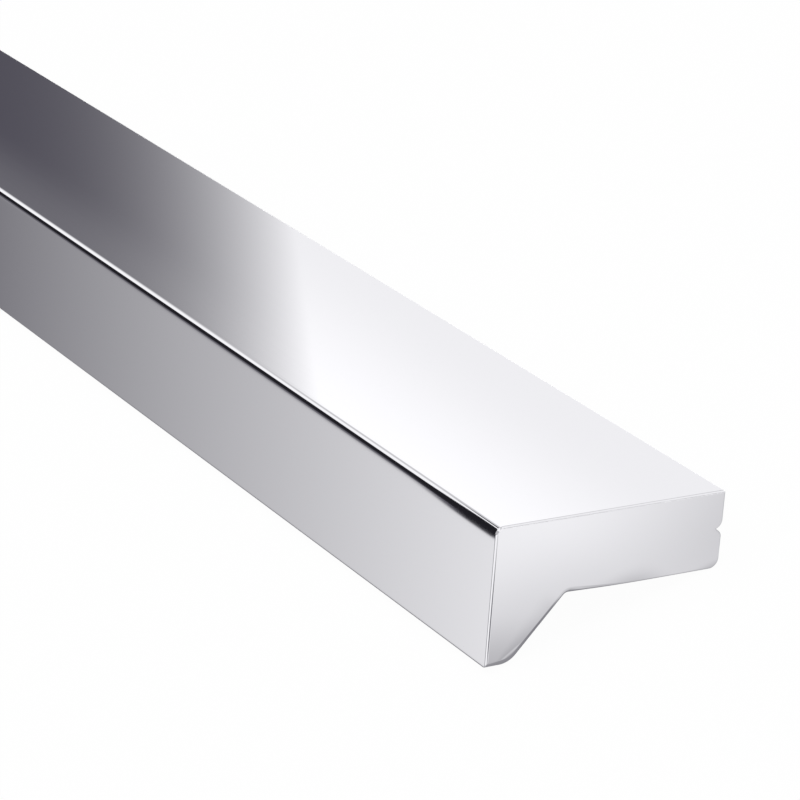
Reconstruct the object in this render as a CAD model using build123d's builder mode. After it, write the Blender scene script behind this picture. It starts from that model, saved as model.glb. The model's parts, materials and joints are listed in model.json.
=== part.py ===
"""Ledge handle: a straight profile bar that a door or drawer front carries along its top edge.

The section is an arm that runs back from a tall front face, with a lip under the front for the fingers.
The rear face goes against the door, and two tapped blind holes in it take screws through the door.
A shallow groove along the rear face guides the drill for those holes.

The bar lies unheld on a level floor, tipped back onto its lip and its rear lower corner.
In the section, u runs from the front face back to the rear face, and v from the lip's bottom to the top.
"""
from build123d import *
from math import asin, atan2, cos, degrees, hypot, radians, sin, tan
import os

# Section of the profile, in millimetres
length = 350.0
depth = 36.0
front_height = 20.0
arm_thickness = 11.2
lip_root = 11.9  # u where the lip's inner slope meets the underside of the arm
lip_foot = 3.9  # u where that slope would meet the plane of the lip's bottom

# Radii of the long edges
top_front_radius = 1.1
top_rear_radius = 0.4
rear_lower_radius = 1.5
lip_root_radius = 1.5
lip_radius = 3.5

# Groove along the rear face, steep above its bottom and flatter below it
groove_drop = 5.5  # from the top face down to the groove and to the axes of the holes
groove_depth = 0.9
groove_upper_rise = 0.35  # from the groove's bottom up to where its steep flank would meet the rear face
groove_lower_fall = 0.7
groove_upper_radius = 1.4
groove_lower_radius = 0.95

# Rounding where fingers meet the two ends of the lip, and around all other sharp edges
lip_end_radius = 1.1
broken_edge_radius = 0.35

# Tapped holes for M4 screws, modelled at the size of the thread's core
hole_spacing = 320.0
hole_radius = 1.65
hole_depth = 15.0
drill_tip_angle = 118.0
countersink_radius = 2.2
countersink_angle = 90.0

underside = front_height - arm_thickness
groove_height = front_height - groove_drop

# Tilt at rest: the floor touches the arc of the lip and the arc of the rear lower corner
lip_slope = atan2(underside, lip_root - lip_foot)
lip_arc_u = lip_foot - lip_radius * tan(lip_slope / 2)
arc_run = depth - rear_lower_radius - lip_arc_u
arc_rise = underside + rear_lower_radius - lip_radius
tilt = atan2(arc_rise, arc_run) + asin((lip_radius - rear_lower_radius) / hypot(arc_run, arc_rise))


def reach(u, v):
    """How far back a point of the section lies once the bar is tipped, from the section's own corner."""
    return u * cos(tilt) + v * sin(tilt)


def level(u, v):
    """How high that point lies."""
    return v * cos(tilt) - u * sin(tilt)


floor_level = level(lip_arc_u, lip_radius) - lip_radius
front_reach = reach(broken_edge_radius, broken_edge_radius) - broken_edge_radius
rear_reach = reach(depth - top_rear_radius, front_height - top_rear_radius) + top_rear_radius
section_plane = Plane(
    origin=(-length / 2, -(front_reach + rear_reach) / 2, -floor_level),
    x_dir=(0, cos(tilt), -sin(tilt)),
    z_dir=(1, 0, 0),
)


def at(along, u, v):
    """A point in space: along the bar from its middle, and by u and v in the section."""
    return section_plane.from_local_coords((u, v, along + length / 2))


def in_section(edge):
    """The middle of an edge, in the section's own u and v."""
    return section_plane.to_local_coords(edge.center())


def end_edges(part):
    """The edges around the flat faces of the two ends."""
    ends = part.faces().filter_by(Axis.X).sort_by(Axis.X)
    return ends[0].edges() + ends[-1].edges()


def on_front_half(edge):
    """Whether an edge of an end runs from the groove over the top face and down the front face."""
    middle = in_section(edge)
    return middle.Y > groove_height or middle.X < broken_edge_radius


# What is taken off the right end of the lip: the space outside a round edge, all along the lip's outline
with BuildPart() as lip_end_round:
    with BuildLine(section_plane.offset(length)) as lip_outline:
        overrun = lip_end_radius / sin(lip_slope)
        FilletPolyline(
            (-2 * lip_end_radius, 0),
            (lip_foot, 0),
            (lip_root + overrun * cos(lip_slope), underside + overrun * sin(lip_slope)),
            radius=(lip_radius,),
        )
    with BuildSketch(Plane(origin=lip_outline.line @ 0, x_dir=(1, 0, 0), z_dir=section_plane.x_dir)):
        with Locations((-lip_end_radius, -lip_end_radius)):
            Rectangle(2 * lip_end_radius, 2 * lip_end_radius, align=(Align.MIN, Align.MIN))
            Circle(lip_end_radius, mode=Mode.SUBTRACT)
    sweep(path=lip_outline.line)
    split(bisect_by=Plane(origin=at(0, 0, underside), z_dir=section_plane.y_dir), keep=Keep.BOTTOM)

with BuildPart() as handle_profile:
    with BuildSketch(section_plane):
        with BuildLine():
            FilletPolyline(
                (0, 0),
                (0, front_height),
                (depth, front_height),
                (depth, groove_height + groove_upper_rise),
                (depth - groove_depth, groove_height),
                (depth, groove_height - groove_lower_fall),
                (depth, underside),
                (lip_root, underside),
                (lip_foot, 0),
                radius=(
                    0,
                    top_front_radius,
                    top_rear_radius,
                    groove_upper_radius,
                    0,
                    groove_lower_radius,
                    rear_lower_radius,
                    lip_root_radius,
                    lip_radius,
                ),
                close=True,
            )
        make_face()
    extrude(amount=length)

    # The underside's end edges are broken first, then the lip's ends rounded, then the front edges broken
    fillet(end_edges(handle_profile).filter_by(on_front_half, reverse=True), broken_edge_radius)
    add(lip_end_round.part, mode=Mode.SUBTRACT)
    mirror(lip_end_round.part, about=Plane.YZ, mode=Mode.SUBTRACT)
    long_edges = handle_profile.edges().filter_by(Axis.X)
    lower_front_edge = long_edges.sort_by_distance(at(0, 0, 0)).first
    fillet(end_edges(handle_profile).filter_by(on_front_half) + [lower_front_edge], broken_edge_radius)

    for side in (-1, 1):
        mouth = Plane(
            origin=at(side * hole_spacing / 2, depth, groove_height),
            x_dir=(1, 0, 0),
            z_dir=section_plane.x_dir,
        )
        with Locations(mouth):
            CounterSinkHole(hole_radius, countersink_radius, hole_depth, countersink_angle)
        with Locations(mouth.offset(-hole_depth)):
            Cone(
                bottom_radius=0,
                top_radius=hole_radius,
                height=hole_radius / tan(radians(drill_tip_angle / 2)),
                align=(Align.CENTER, Align.CENTER, Align.MAX),
                mode=Mode.SUBTRACT,
            )

handle_profile.part.label = "handle_profile"
os.makedirs("parts", exist_ok=True)
export_step(handle_profile.part, "parts/handle_profile.step")

print("tilt at rest:", round(degrees(tilt), 3), "degrees")
print("volume:", round(handle_profile.part.volume), "cubic millimetres")
print("middle of the right hole's mouth:", at(hole_spacing / 2, depth, groove_height))
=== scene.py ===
# %% [markdown]
# # A ledge handle in polished aluminium
#
# The object is one bar: an extruded aluminium profile, cut to length and polished. A door or drawer front
# carries it along its top edge, and fingers hook behind its lip.
#
# The solid model holds the size and the place of everything. This script gives the bar its looks: a mesh
# fine enough for a mirror finish, the finish itself, and a small studio around it. All lengths are in
# metres, in the frame that the solid model uses.

import json
from math import asin, atan2, copysign, degrees, radians, tan

import bpy
from mathutils import Euler, Matrix, Vector


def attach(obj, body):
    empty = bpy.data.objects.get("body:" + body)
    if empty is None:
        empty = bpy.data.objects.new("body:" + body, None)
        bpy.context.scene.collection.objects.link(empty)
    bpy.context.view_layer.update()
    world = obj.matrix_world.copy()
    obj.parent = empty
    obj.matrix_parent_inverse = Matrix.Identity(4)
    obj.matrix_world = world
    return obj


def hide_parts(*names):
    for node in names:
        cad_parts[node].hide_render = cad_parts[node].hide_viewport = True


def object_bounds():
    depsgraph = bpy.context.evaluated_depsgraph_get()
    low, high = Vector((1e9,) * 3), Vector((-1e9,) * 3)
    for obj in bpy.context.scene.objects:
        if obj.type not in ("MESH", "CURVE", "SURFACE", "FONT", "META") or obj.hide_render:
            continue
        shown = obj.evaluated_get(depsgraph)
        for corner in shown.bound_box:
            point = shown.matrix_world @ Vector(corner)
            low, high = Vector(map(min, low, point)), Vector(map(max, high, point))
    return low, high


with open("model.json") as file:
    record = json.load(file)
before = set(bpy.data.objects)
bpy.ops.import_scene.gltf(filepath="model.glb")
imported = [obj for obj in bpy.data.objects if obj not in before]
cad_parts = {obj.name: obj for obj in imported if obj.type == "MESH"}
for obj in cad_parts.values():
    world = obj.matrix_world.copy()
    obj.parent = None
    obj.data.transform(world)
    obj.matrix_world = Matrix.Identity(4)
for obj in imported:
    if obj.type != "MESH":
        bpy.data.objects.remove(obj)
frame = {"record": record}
solid_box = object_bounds()
print("solid bar from", tuple(solid_box[0]), "to", tuple(solid_box[1]))

# %% [markdown]
# ## What the solid already settles
#
# The length comes from the box of the solid. The record of the screw holes says where they are and which
# way they point, and that also gives the tilt: the bar isn't held, so it lies tipped back onto its lip
# and its rear lower corner, and the holes point a little into the floor.

# %% Take the length, the tilt and the holes from the frame
mm = 0.001
length = solid_box[1].x - solid_box[0].x
holes = [mount for mount in frame["record"]["mounts"] if mount["kind"] == "threaded_hole"]
hole_axis = Vector(holes[0]["axis"])
tilt = asin(-hole_axis.z)
thread_core_radius = holes[0]["dims"]["r_mm"] * mm
print("length", round(length, 4), "tilt", round(degrees(tilt), 2), "degrees,", len(holes), "holes")

# %% [markdown]
# ## The section
#
# Upright, the section of the profile is drawn with y from the front face to the rear face and z from the
# bottom of the lip to the top face. These are the sizes that the die would have. The radii matter more
# than anything else here, because on a mirror finish each rounded edge turns into a bright or a dark
# line.
#
# The last of them belong to the cut ends. The lip's end has a broad rounding that runs out along the
# underside of the arm, behind the lip's root, so that stretch of the underside is drawn in small steps.

# %% Sizes of the section
depth = 36.0 * mm
front_height = 20.0 * mm
arm_thickness = 11.2 * mm
lip_root = 11.9 * mm
lip_foot = 3.9 * mm

top_front_radius = 1.1 * mm
top_rear_radius = 0.4 * mm
rear_lower_radius = 1.5 * mm
lip_root_radius = 1.0 * mm
lip_radius = 3.5 * mm

groove_drop = 5.5 * mm
groove_depth = 0.9 * mm
groove_upper_rise = 0.35 * mm
groove_lower_fall = 0.7 * mm
groove_upper_radius = 1.4 * mm
groove_lower_radius = 0.95 * mm

lip_end_radius = 1.1 * mm
broken_edge_radius = 0.35 * mm

run_out_start = lip_root + 0.6 * mm
run_out_end = lip_root + 12.0 * mm
run_out_steps = 24

underside = front_height - arm_thickness
groove_height = front_height - groove_drop
run_out_step = (run_out_end - run_out_start) / run_out_steps
section_corners = [
    (0, front_height, top_front_radius),
    (depth, front_height, top_rear_radius),
    (depth, groove_height + groove_upper_rise, groove_upper_radius),
    (depth - groove_depth, groove_height, 0),
    (depth, groove_height - groove_lower_fall, groove_lower_radius),
    (depth, underside, rear_lower_radius),
    *[(run_out_end - run_out_step * step, underside, 0) for step in range(run_out_steps + 1)],
    (lip_root, underside, lip_root_radius),
    (lip_foot, 0, lip_radius),
]
print("outline through", len(section_corners), "places besides the sharp lower front corner")

# %% [markdown]
# ## Small helpers for modelling by hand
#
# The modelling operators work on what is selected, and the loaded solid is still selected. So one helper
# picks the piece to work on, and three more start a shape from a single vertex, draw with it and close
# it.

# %% Helpers for modelling
tiny = 0.001 * mm


def work_on(piece):
    """Makes piece the only selected object and the active one."""
    bpy.ops.object.select_all(action="DESELECT")
    piece.select_set(True)
    bpy.context.view_layer.objects.active = piece


def start_point(name, place):
    """A new piece that is a single vertex, open for modelling."""
    bpy.ops.object.select_all(action="DESELECT")
    bpy.ops.mesh.primitive_plane_add(size=mm, location=place)
    piece = bpy.context.object
    piece.name = name
    bpy.ops.object.transform_apply(location=True)
    bpy.ops.object.mode_set(mode="EDIT")
    bpy.ops.mesh.select_mode(type="VERT")
    bpy.ops.mesh.select_all(action="SELECT")
    bpy.ops.mesh.merge(type="CENTER")
    return piece


def draw_by(step):
    """Draws a straight line from the selected vertex."""
    bpy.ops.mesh.extrude_vertices_move(TRANSFORM_OT_translate={"value": step})


def close_up():
    """Merges what lies in one place, turns the faces outwards and leaves modelling."""
    bpy.ops.mesh.select_all(action="SELECT")
    bpy.ops.mesh.remove_doubles(threshold=tiny)
    bpy.ops.mesh.normals_make_consistent(inside=False)
    bpy.ops.object.mode_set(mode="OBJECT")


# %% [markdown]
# ## Drawing the outline
#
# An extrusion starts as an outline. It is drawn with one vertex that is extruded along each straight run
# and spun around the centre of each rounding. A spin gives true arcs, where a bevel of a corner that
# isn't square gives a stretched one, and the mirror finish would show the difference.

# %% Draw the outline at the left end
arc_step = radians(3.5)
fewest_arc_steps = 6


def at_left_end(y, z):
    """A point of the section, at the left end of the bar."""
    return Vector((-length / 2, y, z))


def draw_outline(corners):
    """Draws the rounded outline from the sharp corner at y = 0, z = 0, and leaves the piece open."""
    piece = start_point("polished_bar", at_left_end(0, 0))
    here = Vector((0, 0))
    spots = [here] + [Vector((y, z)) for y, z, radius in corners] + [here]
    for before, spot, after, corner in zip(spots, spots[1:], spots[2:], corners):
        radius = corner[2]
        way_in = (spot - before).normalized()
        way_out = (after - spot).normalized()
        turn = atan2(way_in.cross(way_out), way_in.dot(way_out))
        setback = radius * tan(abs(turn) / 2)
        step = spot - way_in * setback - here
        draw_by((0, step.x, step.y))
        here = here + step
        if radius > 0:
            centre = here + Vector((-way_in.y, way_in.x)) * copysign(radius, turn)
            steps = max(fewest_arc_steps, round(abs(turn) / arc_step))
            bpy.ops.mesh.spin(steps=steps, angle=-turn, center=at_left_end(*centre), axis=(1, 0, 0))
            here = spot + way_out * setback
    return piece


bar = draw_outline(section_corners)
print("outline with", sum(radius > 0 for y, z, radius in section_corners), "roundings")

# %% [markdown]
# ## From outline to bar
#
# Filling the outline also closes it along the bottom of the lip. The face is then extruded to the length
# of the bar, as the press pushes the metal through the die.

# %% Fill and extrude
bpy.ops.mesh.select_all(action="SELECT")
bpy.ops.mesh.edge_face_add()
bpy.ops.mesh.extrude_region_move(TRANSFORM_OT_translate={"value": (length, 0, 0)})
close_up()
print("bar of", len(bar.data.polygons), "faces")

# %% [markdown]
# ## Rounding the ends
#
# Every cut edge is broken a little, and the two ends of the lip, where fingers meet them, are rounded
# much more. A Bevel modifier takes its width from a weight on each edge, so both come in one pass: the
# lip has the full weight and the rest a small share. Between them the weight runs down in small steps,
# fast at first, and only along the straight underside of the arm: in a bend, offsets that differ would
# cross each other.

# %% Weight the end edges and bevel them
light_weight = broken_edge_radius / lip_end_radius
rounding_steps = 8


def end_weight(y, z):
    """The share of the lip's rounding that an end edge gets at this place of the section."""
    if z > underside + tiny or y < tiny:
        return light_weight
    left = min(1.0, max(0.0, (run_out_end - y) / (run_out_end - run_out_start)))
    return light_weight + (1 - light_weight) * left ** 2


weights = bar.data.attributes.new("bevel_weight_edge", "FLOAT", "EDGE")
for edge in bar.data.edges:
    first, second = (bar.data.vertices[index].co for index in edge.vertices)
    middle = (first + second) / 2
    if abs(abs(middle.x) - length / 2) < tiny:
        weights.data[edge.index].value = end_weight(middle.y, middle.z)
    elif middle.y < tiny and middle.z < tiny:
        weights.data[edge.index].value = light_weight


def apply_modifier(piece, modifier):
    """Makes what a modifier does to piece permanent."""
    work_on(piece)
    bpy.ops.object.modifier_apply(modifier=modifier.name)


rounding = bar.modifiers.new("Rounded ends", "BEVEL")
rounding.limit_method = "WEIGHT"
rounding.offset_type = "OFFSET"
rounding.width = lip_end_radius
rounding.segments = rounding_steps
rounding.use_clamp_overlap = False
apply_modifier(bar, rounding)
print("rounded bar of", len(bar.data.polygons), "faces")

# %% [markdown]
# ## The screw holes
#
# Two holes in the rear face take the screws. Each is drilled and countersunk, so the tool that cuts it is
# a turned shape: half its outline is drawn and spun all the way round.

# %% Drill the holes
hole_depth = 15.0 * mm
countersink_radius = 2.2 * mm
drill_point_angle = radians(118)
tool_clearance = 1.0 * mm
tool_sides = 48


def drill(x):
    """A turned tool for a hole at x, entering through the rear face."""
    tool = start_point("drill", (x, depth + tool_clearance, groove_height))
    point_depth = thread_core_radius / tan(drill_point_angle / 2)
    narrowing = countersink_radius - thread_core_radius
    draw_by((0, 0, countersink_radius))
    draw_by((0, -tool_clearance, 0))
    draw_by((0, -narrowing, -narrowing))
    draw_by((0, narrowing - hole_depth, 0))
    draw_by((0, -point_depth, -thread_core_radius))
    bpy.ops.mesh.select_all(action="SELECT")
    bpy.ops.mesh.spin(steps=tool_sides, angle=radians(360), center=(x, 0, groove_height), axis=(0, 1, 0))
    close_up()
    return tool


def cut(piece, tool):
    """Takes the tool's shape out of piece, and removes the tool."""
    boolean = piece.modifiers.new("Cut", "BOOLEAN")
    boolean.operation = "DIFFERENCE"
    boolean.solver = "EXACT"
    boolean.object = tool
    apply_modifier(piece, boolean)
    bpy.data.objects.remove(tool)


for hole in holes:
    cut(bar, drill(hole["pos_m"][0]))
print("drilled bar of", len(bar.data.polygons), "faces")

# %% [markdown]
# ## Laying the bar down
#
# So far the bar is upright. It is turned back by its tilt, and then moved so that its box lies on the box
# of the solid. Both are applied to the mesh, so the finished piece has its place in its vertices.

# %% Tip the bar back onto the floor
bar.rotation_euler.x = -tilt
work_on(bar)
bpy.ops.object.transform_apply(location=False, rotation=True, scale=False)
lowest = Vector(min(vertex.co[axis] for vertex in bar.data.vertices) for axis in range(3))
bar.location = solid_box[0] - lowest
bpy.ops.object.transform_apply(location=True, rotation=False, scale=False)
print("bar tipped back by", round(degrees(tilt), 2), "degrees")

# %% [markdown]
# ## Smooth shading that keeps the flats flat
#
# A mirror finish shows the smallest fault in the shading. Edges over thirty degrees stay sharp, and a
# Weighted Normal modifier lets the large flat faces rule over the narrow facets of the roundings beside
# them.

# %% Shade the bar
sharp_angle = radians(30)

work_on(bar)
bpy.ops.object.shade_smooth_by_angle(angle=sharp_angle)
weighted = bar.modifiers.new("Flat faces rule", "WEIGHTED_NORMAL")
weighted.keep_sharp = True
weighted.weight = 100
apply_modifier(bar, weighted)
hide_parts("handle_profile")
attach(bar, "root")
print("edges over", round(degrees(sharp_angle)), "degrees stay sharp")

# %% [markdown]
# ## Shader maths as expressions
#
# A material is a sum of small sums. Wrapped in a class, a socket can be added, multiplied and subtracted
# in plain Python, and each operation adds its Math node. One method adds every other kind of node.

# %% A socket that behaves like a number
class Signal:
    """An output of a node tree that Python's operators work on."""

    def __init__(self, tree, socket):
        self.tree = tree
        self.socket = socket

    def __add__(self, other):
        return self.tree.math("ADD", self, other)

    __radd__ = __add__

    def __sub__(self, other):
        return self.tree.math("SUBTRACT", self, other)

    def __rsub__(self, other):
        return self.tree.math("SUBTRACT", other, self)

    def __mul__(self, other):
        return self.tree.math("MULTIPLY", self, other)

    __rmul__ = __mul__

    def __neg__(self):
        return self.tree.math("MULTIPLY", self, -1.0)

    def __pow__(self, power):
        return self.tree.math("POWER", self, power)

    def __abs__(self):
        return self.tree.math("ABSOLUTE", self)


# %% A node tree that is written as sums
cool_limit = 0.09
less_green = 0.05
more_blue = 0.2


class Tree:
    """The node tree of a material or of the world, emptied, with one way to add nodes."""

    def __init__(self, owner):
        owner.use_nodes = True
        self.nodes = owner.node_tree.nodes
        self.links = owner.node_tree.links
        self.nodes.clear()

    def node(self, kind, settings=None, sockets=None):
        """Adds a node, its settings first and then its sockets, and returns its outputs by name."""
        node = self.nodes.new(kind)
        for name, value in (settings or {}).items():
            setattr(node, name, value)
        for name, value in (sockets or {}).items():
            if isinstance(value, Signal):
                self.links.new(value.socket, node.inputs[name])
            else:
                node.inputs[name].default_value = value
        return {output.name: Signal(self, output) for output in node.outputs if output.enabled}

    def math(self, operation, first, second=0.0):
        """The Math node of this operation, on two numbers or signals."""
        return self.node("ShaderNodeMath", {"operation": operation}, {0: first, 1: second})["Value"]

    def soft_step(self, value, start, end):
        """Runs smoothly from 0 at start to 1 at end."""
        settings = {"interpolation_type": "SMOOTHSTEP"}
        sockets = {"Value": value, "From Min": start, "From Max": end}
        return self.node("ShaderNodeMapRange", settings, sockets)["Result"]

    def ramp(self, value, start, end):
        """Runs evenly from 0 at start to 1 at end."""
        sockets = {"Value": value, "From Min": start, "From Max": end}
        return self.node("ShaderNodeMapRange", sockets=sockets)["Result"]

    def span(self, value, start, end, softness):
        """1 between start and end, with soft edges of that width centred on them, and 0 outside."""
        rise = self.soft_step(value, start - softness / 2, start + softness / 2)
        fall = self.soft_step(value, end - softness / 2, end + softness / 2)
        return rise * (1 - fall)

    def bearing(self, up, along):
        """The angle in degrees of the point that lies this far along and this far up."""
        return self.math("ARCTAN2", up, along) * degrees(1)

    def tinted(self, level):
        """A grey of this level, a touch cooler than neutral."""
        touch = self.math("MINIMUM", level, cool_limit)
        sockets = {"Red": level, "Green": level - less_green * touch, "Blue": level + more_blue * touch}
        return self.node("ShaderNodeCombineColor", sockets=sockets)["Color"]


def mix(share, first, second):
    """The value between first and second, at this share of the way."""
    return first + share * (second - first)


# %% [markdown]
# ## Polished aluminium
#
# Polish leaves aluminium a near mirror, so the shader is a metal with a low roughness. What keeps it from
# looking like a drawing of a mirror is what the polishing wheel leaves: hair lines along the bar and soft
# patches, both so faint that only the edges of reflections show them.

# %% The finish of the bar
metal_colour = (0.88, 0.88, 0.89, 1)
smoothest = 0.02
line_roughness = 0.015
patch_roughness = 0.01
line_scale = (6, 900, 900)
patch_scale = 45.0
line_height = 0.02 * mm
line_strength = 0.02


def polished_metal():
    """Polished aluminium with faint hair lines along the bar."""
    material = bpy.data.materials.new("polished_metal")
    tree = Tree(material)
    place = tree.node("ShaderNodeTexCoord")["Object"]
    stretched = tree.node("ShaderNodeMapping", sockets={"Vector": place, "Scale": line_scale})["Vector"]
    sockets = {"Vector": stretched, "Scale": 1.0, "Detail": 4.0}
    lines = tree.node("ShaderNodeTexNoise", sockets=sockets)["Fac"]
    sockets = {"Vector": place, "Scale": patch_scale, "Detail": 2.0}
    patches = tree.node("ShaderNodeTexNoise", sockets=sockets)["Fac"]
    roughness = smoothest + line_roughness * lines + patch_roughness * patches
    sockets = {"Strength": line_strength, "Distance": line_height, "Height": lines}
    bump = tree.node("ShaderNodeBump", sockets=sockets)
    sockets = {
        "Base Color": metal_colour,
        "Metallic": 1.0,
        "Roughness": roughness,
        "Normal": bump["Normal"],
    }
    metal = tree.node("ShaderNodeBsdfPrincipled", sockets=sockets)["BSDF"]
    tree.node("ShaderNodeOutputMaterial", sockets={"Surface": metal})
    return material


bar.data.materials.clear()
bar.data.materials.append(polished_metal())
print("finish of", len(bar.data.materials[0].node_tree.nodes), "nodes")

# %% [markdown]
# ## What the metal sees on the floor
#
# A mirror has no looks of its own: each face of the bar shows a piece of its surroundings. In a product
# picture those are white sheets and grey cards. The front face and the end face look down at the floor,
# so the cards that they need are painted on it as a glow, soft gradients that only reflections see.
#
# Distances on the floor are in millimetres, which keeps the numbers short, and a brightness of 1 is that
# of the white sheet. In front of the bar lies a fan that brightens towards the right end, for the front
# face. The rounding above that face looks further out, to a black card, and shows it as a dark line.

# %% The floor in front of the bar
front_edge = -20.0
fan_x = 540.0
fan_y = 230.0
fan_start = 24.9
fan_end = 34.5
fan_dim = 0.16
fan_bright = 0.85
card_foot = 63.5
foot_step = 1.2
foot_softness = 1.2
foot_glow = 0.13
card_slant = 1.31
card_black = 0.018
card_grey = 0.158


def dark_card(tree, x, y):
    """Far in front: a card that is almost black on the right and greyer left of a slanting edge."""
    greyer = 1 - tree.soft_step(x - card_slant * y, 168, 188)
    at_foot = 1 - tree.soft_step(-y, 64, 100)
    return mix(greyer, card_black, card_grey + foot_glow * at_foot)


def before_the_bar(tree, x, y):
    """In front: a fan that brightens towards the right end, as far as the foot of the dark card."""
    in_fan = tree.ramp(tree.bearing(fan_y - y, fan_x - x), fan_start, fan_end)
    foot = card_foot - foot_step * tree.soft_step(x, 84, 106)
    covered = tree.soft_step(-y, foot, foot + foot_softness) * (1 - tree.soft_step(x, 111, 115))
    return mix(covered, mix(in_fan, fan_dim, fan_bright), dark_card(tree, x, y))


# %% [markdown]
# Past each end lies what the end face shows: nearly white far out, and greyer close to the bar, which is
# painted shadow, and towards the rear. The broad rounding of the lip looks almost straight down, so a dark
# strip of painted shadow lies beside the lip, where lip and floor meet, with a pale line along it. The
# narrow edge between the front face and the end face sees round the front corner, where a dark card stands
# in the white and turns that edge into a bright and a dark line.

# %% The floor past the ends
lip_tip = -18.0
lip_line = -16.0
corner_white = 1.05
end_grey = 0.743
far_gain = 0.229
lip_shade = 0.153
rear_shade = 0.292
arm_shade = 0.2
margin_shade = 0.12
line_gain = 0.17
painted_shadow_strip_grey = 0.235


def round_the_corner(tree, turn, away):
    """In front of a front corner, by the bearing and distance from it: white, with one dark card."""
    near_edge = 0.6 + 0.4 * tree.soft_step(away, 4, 12)
    far_edge = 0.8 - 0.6 * tree.soft_step(away, 28, 62)
    return corner_white * (1 - near_edge * far_edge * tree.span(turn, -42, 10, 10))


def grey_past_the_end(tree, beyond, y):
    """Past an end: paler with the distance, darker towards the rear, and painted shadow round the lip and
    below the arm.
    """
    from_lip = (beyond * beyond + (y - lip_tip) * (y - lip_tip)) ** 0.5
    level = end_grey + 0.003 * y + far_gain * tree.soft_step(beyond, 0, 29)
    # Painted shadow: darker round the lip, where it meets the floor, and below the arm.
    level = level - lip_shade * (1 - tree.soft_step(from_lip, 0, 14.5))
    level = level - rear_shade * tree.soft_step(y, 4.8, 42)
    return level - arm_shade * (1 - tree.soft_step(beyond, 4, 9)) * tree.span(y, -2, 9, 6)


def beside_the_end(tree, beyond, y):
    """The same with what lies along the lip: a greyer margin and the dark strip, painted shadow where the
    lip meets the floor, and a pale line.
    """
    level = grey_past_the_end(tree, beyond, y)
    at_lip = 1 - tree.soft_step(y, -5.2, -2.2)
    at_tip = 1 - tree.soft_step(y, -14, -11)
    back = y - lip_line
    margin = at_lip * (1 - tree.soft_step(beyond, 1.6 + 0.4 * back, 3 + 0.75 * back))
    pale_line = at_tip * tree.span(beyond - 0.4 * back, 1.62, 1.97, 0.3)
    # The dark strip and the greyer margin are painted shadow beside the lip, where lip and floor meet.
    strip = at_lip * (1 - tree.soft_step(beyond, 1.28 + 0.2 * back, 1.72 + 0.3 * back))
    level = level - margin_shade * margin + line_gain * pale_line
    return mix(strip, level, painted_shadow_strip_grey + 0.013 * abs(y + 9))


# %% [markdown]
# The floor behind the bar is there for the rear face, and the floor under the bar for its underside, which
# shows a painted shadow there: a dark grey under the bar. All parts are then laid together by place. The
# bearing from the nearer front corner says what lies in front, what lies round the corner and what lies past
# the end.

# %% The whole pattern on the floor
half_length = length / 2 / mm
# The dark grey of the floor under the bar: a painted shadow that the underside shows.
painted_shadow_under_bar = 0.25
rear_dark = 0.06
rear_white = 1.1
sector_shade = 0.55


def behind_the_bar(tree, x, y):
    """Behind: dark on the left, white on the right, and less so close to the bar, a painted shadow, and near
    the right end.
    """
    slope = mix(tree.soft_step(x, -70, 40), rear_dark, rear_white)
    # Darker close to the bar: a painted shadow on the floor behind it.
    return slope * (0.5 + 0.5 * tree.soft_step(y, 20, 30)) * (1 - 0.55 * tree.soft_step(x, 150, 162))


def floor_in_the_metal(tree, x, y):
    """The brightness of the floor in reflections, by place."""
    beyond = abs(x) - half_length
    forward = y - front_edge
    turn = tree.bearing(forward, beyond)
    away = (beyond * beyond + forward * forward) ** 0.5

    ahead = before_the_bar(tree, x, y) * (1 - sector_shade * tree.span(turn, -142, -104, 6))
    corner = round_the_corner(tree, turn, away)
    side = mix(tree.soft_step(turn, 14, 34), corner, beside_the_end(tree, beyond, y))
    level = mix(tree.soft_step(turn, -104, -94), ahead, side)
    far = tree.soft_step(-y, 90, 120) * (1 - tree.soft_step(x, 105, 115))
    level = mix(far, level, dark_card(tree, x, y))

    within = 1 - tree.soft_step(beyond, -2, 2)
    level = mix(within * tree.soft_step(y, 18, 26), level, behind_the_bar(tree, x, y))
    # Under the bar the floor is painted dark grey, a painted shadow for the underside.
    under = within * tree.soft_step(y, -23, -20.5) * (1 - tree.soft_step(y, 17, 20))
    return mix(under, level, painted_shadow_under_bar)


# %% [markdown]
# ## The floor itself
#
# The camera sees the same plane as a white sheet. Part of its white is a glow, which keeps it white
# without more light on the bar and leaves only a faint shadow. A Light Path node tells what looks at the
# sheet: the camera, a reflection, or the light that bounces between surfaces.

# %% The floor
floor_size = 6.0
sheet_colour = (0.9, 0.9, 0.9, 1)
white = (1, 1, 1, 1)
glow_share = 0.97


def pale_sheet():
    """A white sheet with a faint shadow for the camera, and the pattern for reflections."""
    material = bpy.data.materials.new("pale_sheet")
    tree = Tree(material)
    looks = tree.node("ShaderNodeLightPath")
    on_sheet = tree.node("ShaderNodeTexCoord")["Object"]
    place = tree.node("ShaderNodeSeparateXYZ", sockets={"Vector": on_sheet})
    paper = tree.node("ShaderNodeBsdfDiffuse", sockets={"Color": sheet_colour})["BSDF"]
    glow = tree.node("ShaderNodeEmission", sockets={"Color": white, "Strength": 1.0})["Emission"]
    level = floor_in_the_metal(tree, place["X"] * (1 / mm), place["Y"] * (1 / mm))
    sockets = {"Color": tree.tinted(level), "Strength": 1.0}
    pattern = tree.node("ShaderNodeEmission", sockets=sockets)["Emission"]
    sockets = {"Fac": glow_share * looks["Is Camera Ray"], 1: paper, 2: glow}
    sheet = tree.node("ShaderNodeMixShader", sockets=sockets)["Shader"]
    sockets = {"Fac": looks["Is Glossy Ray"], 1: sheet, 2: pattern}
    surface = tree.node("ShaderNodeMixShader", sockets=sockets)["Shader"]
    tree.node("ShaderNodeOutputMaterial", sockets={"Surface": surface})
    return material


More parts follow.
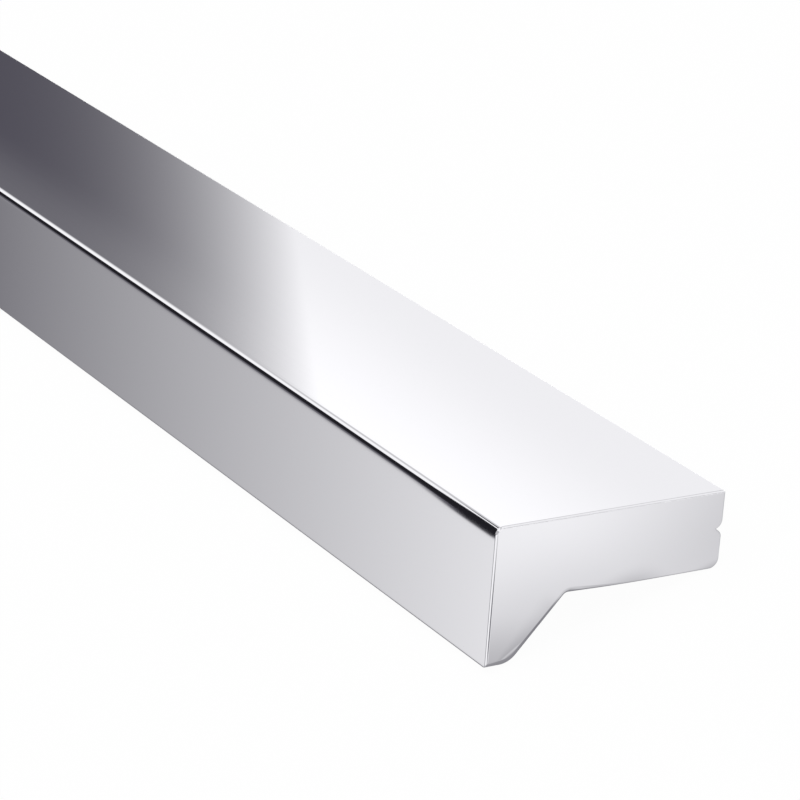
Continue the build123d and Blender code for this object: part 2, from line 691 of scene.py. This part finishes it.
bpy.ops.object.select_all(action="DESELECT")
bpy.ops.mesh.primitive_plane_add(size=floor_size)
floor = bpy.context.object
floor.name = "floor"
floor.data.materials.append(pale_sheet())
print("floor of", floor_size, "metres")

# %% [markdown]
# ## The room
#
# The top face and the roundings look up into the room. A card stands behind the bar, almost black on the
# left and white on the right, and its slow gradient is what the top face shows. The room is a function of
# direction, so it is the same from every point of the bar. Its angles are in degrees.

# %% The card behind the bar
card_top = 20.8
card_base = 8.5
card_lean = 0.473
card_curve = 4.634
card_dark = 0.07
card_white = 0.948
glare_gain = 0.162
low_gain = 0.15
margin_gain = 0.065
seam_depth = 0.65


def rear_card(tree, along, around):
    """The card behind the bar, by the part of the direction along the bar and the angle around the bar.

    Above its top the card goes on as it is there, so the rounding in front shows the same greys."""
    angle = tree.math("MINIMUM", around, card_top) * radians(1)
    across = (1 - along * along) ** 0.5
    azimuth = tree.bearing(across * tree.math("COSINE", angle), -along)
    rise = tree.math("ARCSINE", across * tree.math("SINE", angle)) * degrees(1)
    height = tree.math("MAXIMUM", rise, card_base)

    slope = tree.ramp(azimuth - card_lean * (height - 11), 26.57, 33.9) ** card_curve
    glare = glare_gain * tree.soft_step(height - 0.319 * (azimuth - 35), 10.06, 12.36)
    low = low_gain * (1 - tree.soft_step(rise, 3, 8))
    margin = margin_gain * tree.soft_step(around, 19.24, 20.75)
    return mix(slope, card_dark + margin, card_white + glare + low)


def seams(tree, azimuth, height):
    """Two dark seams in the card behind, which the narrow edges of the top face show as thin lines."""
    upper = tree.span(azimuth, 47, 62, 6) * tree.soft_step(height, 14, 22)
    lower = tree.span(azimuth, 138, 152, 4) * (1 - tree.soft_step(height, 10, 14))
    return upper + lower


# %% [markdown]
# A white card hangs overhead, and in front a black card stands as a flag. Together they draw the white
# and the black line along the front edge. Near the right end that edge looks a little further right than
# elsewhere, and there the white card has a thin dark line of its own and ends sooner.

# %% The cards overhead and in front
overhead_white = 1.04
joint_depth = 0.37
flag_black = 0.015
front_grey = 0.5


def overhead_card(tree, along, around, rear):
    """Above the card behind: a grey joint, and the white card overhead as far as its front rim."""
    joint = 1 - joint_depth * rear * tree.span(around, 66, 91, 16)
    level = mix(tree.soft_step(around, 58, 95), rear, overhead_white) * joint
    near_end = tree.soft_step(along, -0.785, -0.771) * (1 - tree.soft_step(along, -0.75, -0.7))
    dark_line = near_end * near_end * tree.span(around, 85, 98, 4)
    towards_rim = around + 18 * near_end + 2.2 * (1 - tree.soft_step(along, -0.81, -0.79))
    return level * (1 - dark_line) * (1 - tree.soft_step(towards_rim, 124, 131))


def front_card(tree, along, azimuth, around):
    """In front: a grey card, nearly all covered by a black flag."""
    thin_part = tree.soft_step(around, 163, 185) * tree.soft_step(-along, 0.782, 0.79)
    flag = tree.span(azimuth, -46, -15, 8) * (1 - 0.16 * thin_part)
    return flag_black + front_grey * tree.soft_step(around, 125, 131) * (1 - flag)


def room_in_the_metal(tree, way):
    """The brightness of the room in reflections, by direction."""
    azimuth = tree.bearing(way["Y"], -way["X"])
    height = tree.math("ARCSINE", way["Z"]) * degrees(1)
    around = tree.bearing(way["Z"], way["Y"])
    rear = rear_card(tree, way["X"], around) * (1 - seam_depth * seams(tree, azimuth, height))
    return overhead_card(tree, way["X"], around, rear) + front_card(tree, way["X"], azimuth, around)


# %% [markdown]
# As on the floor, a Light Path node tells what looks at the room. The camera sees plain white,
# reflections see the cards, and what is left is the soft light that the room gives.

# %% The room
soft_light_strength = 0.55


def background(tree, colour, strength=1.0):
    """A plain background of this colour."""
    sockets = {"Color": colour, "Strength": strength}
    return tree.node("ShaderNodeBackground", sockets=sockets)["Background"]


def room():
    """The surroundings: white for the camera, cards for reflections and soft light for the rest."""
    world = bpy.data.worlds.new("room")
    bpy.context.scene.world = world
    tree = Tree(world)
    looks = tree.node("ShaderNodeLightPath")
    direction = tree.node("ShaderNodeTexCoord")["Generated"]
    way = tree.node("ShaderNodeSeparateXYZ", sockets={"Vector": direction})
    cards = background(tree, tree.tinted(room_in_the_metal(tree, way)))
    soft_light = background(tree, white, soft_light_strength)
    sockets = {"Fac": looks["Is Glossy Ray"], 1: soft_light, 2: cards}
    lit = tree.node("ShaderNodeMixShader", sockets=sockets)["Shader"]
    sockets = {"Fac": looks["Is Camera Ray"], 1: lit, 2: background(tree, white)}
    seen = tree.node("ShaderNodeMixShader", sockets=sockets)["Shader"]
    tree.node("ShaderNodeOutputWorld", sockets={"Surface": seen})
    return tree


surroundings = room()
print("room of", len(surroundings.nodes), "nodes")

# %% [markdown]
# ## The lamp
#
# One large square lamp hangs over the bar and gives the floor its soft shadow. The metal doesn't show it,
# because the cards already say what the metal sees.

# %% The lamp
lamp_place = Vector((0.1, -0.2, 1.2))
lamp_size = 1.2
lamp_power = 8.0


def soft_lamp(name, place):
    """A square lamp that points at the middle of the bar and doesn't show in the metal."""
    lamp = bpy.data.lights.new(name, "AREA")
    lamp.size = lamp_size
    lamp.energy = lamp_power
    carrier = bpy.data.objects.new(name, lamp)
    bpy.context.scene.collection.objects.link(carrier)
    carrier.location = place
    carrier.rotation_euler = (-place).to_track_quat("-Z", "Y").to_euler()
    carrier.visible_glossy = False
    return carrier


soft_lamp("overhead_lamp", lamp_place)
print("lamp of", lamp_power, "watts")

# %% [markdown]
# ## The camera
#
# The camera stands off the right end, in front of the bar and above it, and its long lens keeps the edges
# nearly parallel. It is held a little crooked, which lays the bar across the picture from corner to
# corner.

# %% The camera
aim = Vector((118.75, 2.41, 10.22)) * mm
camera_distance = 520 * mm
camera_azimuth = 64.112
camera_elevation = 27.803
camera_roll = -10.666
sensor_width = 36
focal_length = 163.29

lens = bpy.data.cameras.new("camera")
lens.sensor_width = sensor_width
lens.lens = focal_length
camera = bpy.data.objects.new("camera", lens)
bpy.context.scene.collection.objects.link(camera)
standing = Euler((radians(90 - camera_elevation), 0, radians(camera_azimuth))).to_matrix()
held = standing @ Matrix.Rotation(radians(camera_roll), 3, "Z")
camera.matrix_world = Matrix.Translation(aim + held.col[2] * camera_distance) @ held.to_4x4()
bpy.context.scene.camera = camera
bpy.context.scene.view_settings.view_transform = "Standard"
print("camera at", tuple(round(value, 4) for value in camera.matrix_world.translation))
